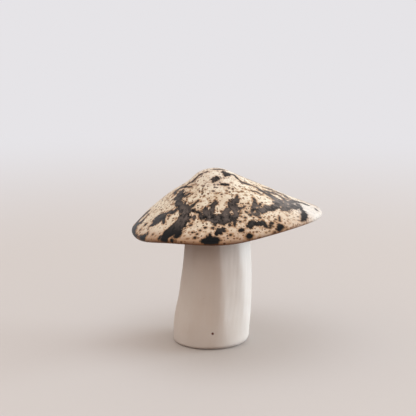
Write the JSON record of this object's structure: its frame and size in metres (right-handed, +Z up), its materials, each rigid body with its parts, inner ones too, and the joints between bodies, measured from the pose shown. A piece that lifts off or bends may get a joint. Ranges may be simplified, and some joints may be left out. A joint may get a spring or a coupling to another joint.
{
  "type": "ceramic mushroom ornament",
  "caption": "Free-standing ceramic mushroom ornament: a wide pointed blotch-glazed cap that turns and lifts off a dowel in a short, pale, faceted hollow stem.",
  "frame": {"origin": "middle of the flat foot, on the surface that the ornament stands on", "axes": "+Z up, +X to the right and -Y towards the viewer of the front, where the vent hole is; the cap's lip stands higher on +X"},
  "size_m": [0.0742, 0.0744, 0.0696],
  "materials": {
    "bare_clay": "smooth, unglazed, satin white",
    "plug_clay": "unglazed white clay, wiped with a sponge",
    "collar_clay": "unglazed white clay",
    "beech": "bare turned beech",
    "blotched_glaze": "cream satin glaze with dark brown blotches and specks"
  },
  "bodies": {
    "stem": {"stem_body": "bare_clay", "stem_crown": "plug_clay"},
    "dowel": {"locating_dowel": "beech"},
    "cap": {"cap_shell": "blotched_glaze", "cap_collar": "collar_clay"}
  },
  "joints": [
    {"name": "cap_turn", "type": "hinge", "parent": "stem", "child": "dowel", "pos_m": [0.0024, 0, 0.05394], "axis": [-0.1011, 0, 0.9949], "continuous": true},
    {"name": "cap_lift", "type": "slide", "parent": "dowel", "child": "cap", "axis": [-0.1011, 0, 0.9949], "range_m": [0, 0.03]}
  ]
}
